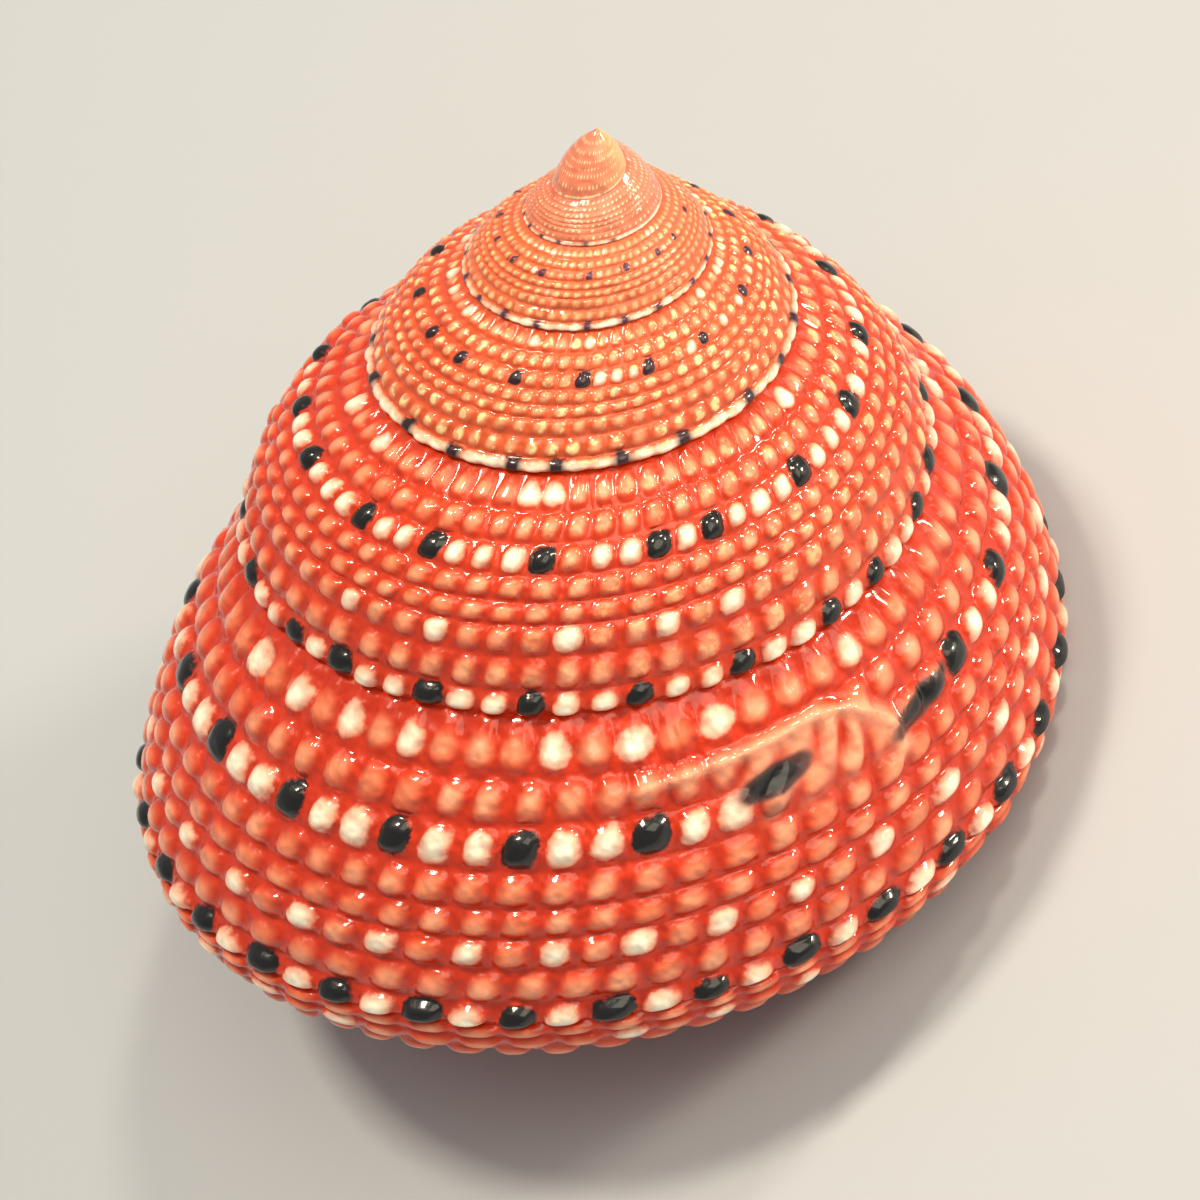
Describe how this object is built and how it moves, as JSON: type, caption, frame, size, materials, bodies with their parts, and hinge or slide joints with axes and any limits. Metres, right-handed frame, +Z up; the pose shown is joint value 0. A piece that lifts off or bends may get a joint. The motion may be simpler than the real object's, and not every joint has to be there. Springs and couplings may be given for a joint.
{
  "type": "strawberry top shell",
  "caption": "Beaded conical sea snail shell lying on its open mouth, with rows of small knobs along spiral cords, an open navel and a tooth-edged lip.",
  "frame": {"origin": "centre of the bounding box's bottom face, on the surface that the shell lies on", "axes": "+Z up from that surface, +X the side towards which the tip leans, -Y the side that the picture shows; the mouth opens downwards"},
  "size_m": [0.0192, 0.0204, 0.015],
  "materials": {
    "shell": "glossy natural shell, coral red with white and black beads, white inside the mouth"
  },
  "bodies": {
    "root": {"shell": "shell"}
  },
  "joints": []
}
